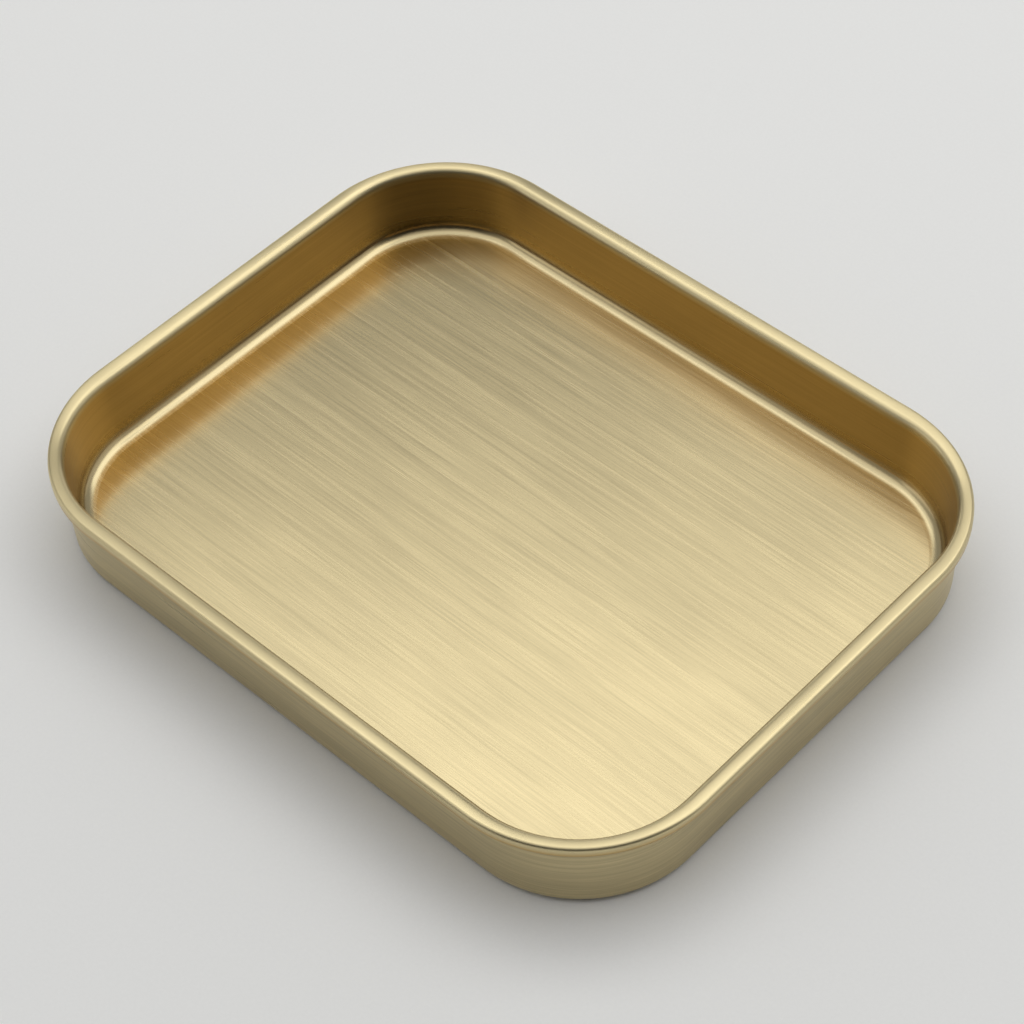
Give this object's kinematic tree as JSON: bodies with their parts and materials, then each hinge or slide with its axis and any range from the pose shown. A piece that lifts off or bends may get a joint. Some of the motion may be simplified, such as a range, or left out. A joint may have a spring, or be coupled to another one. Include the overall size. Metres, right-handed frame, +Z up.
{
  "type": "desk tray",
  "caption": "Low rounded-rectangle desk tray in brushed brass with a broad rolled rim, coved floor and plain skirt, standing on low rubber feet.",
  "frame": {"origin": "middle of the standing surface, under the middle of the tray", "axes": "+X along the long side, +Y along the short side, +Z up out of the open top"},
  "size_m": [0.2, 0.16, 0.0256],
  "materials": {
    "pan_brass": "brushed along the length, satin rim",
    "shell_brass": "brushed along the wall",
    "fibreboard": "dark stained hardboard, matt",
    "foot_rubber": "matt"
  },
  "bodies": {
    "root": {"pan": "pan_brass", "shell": "shell_brass", "base_board": "fibreboard", "foot_front_left": "foot_rubber", "foot_front_right": "foot_rubber", "foot_back_left": "foot_rubber", "foot_back_right": "foot_rubber"}
  },
  "joints": []
}
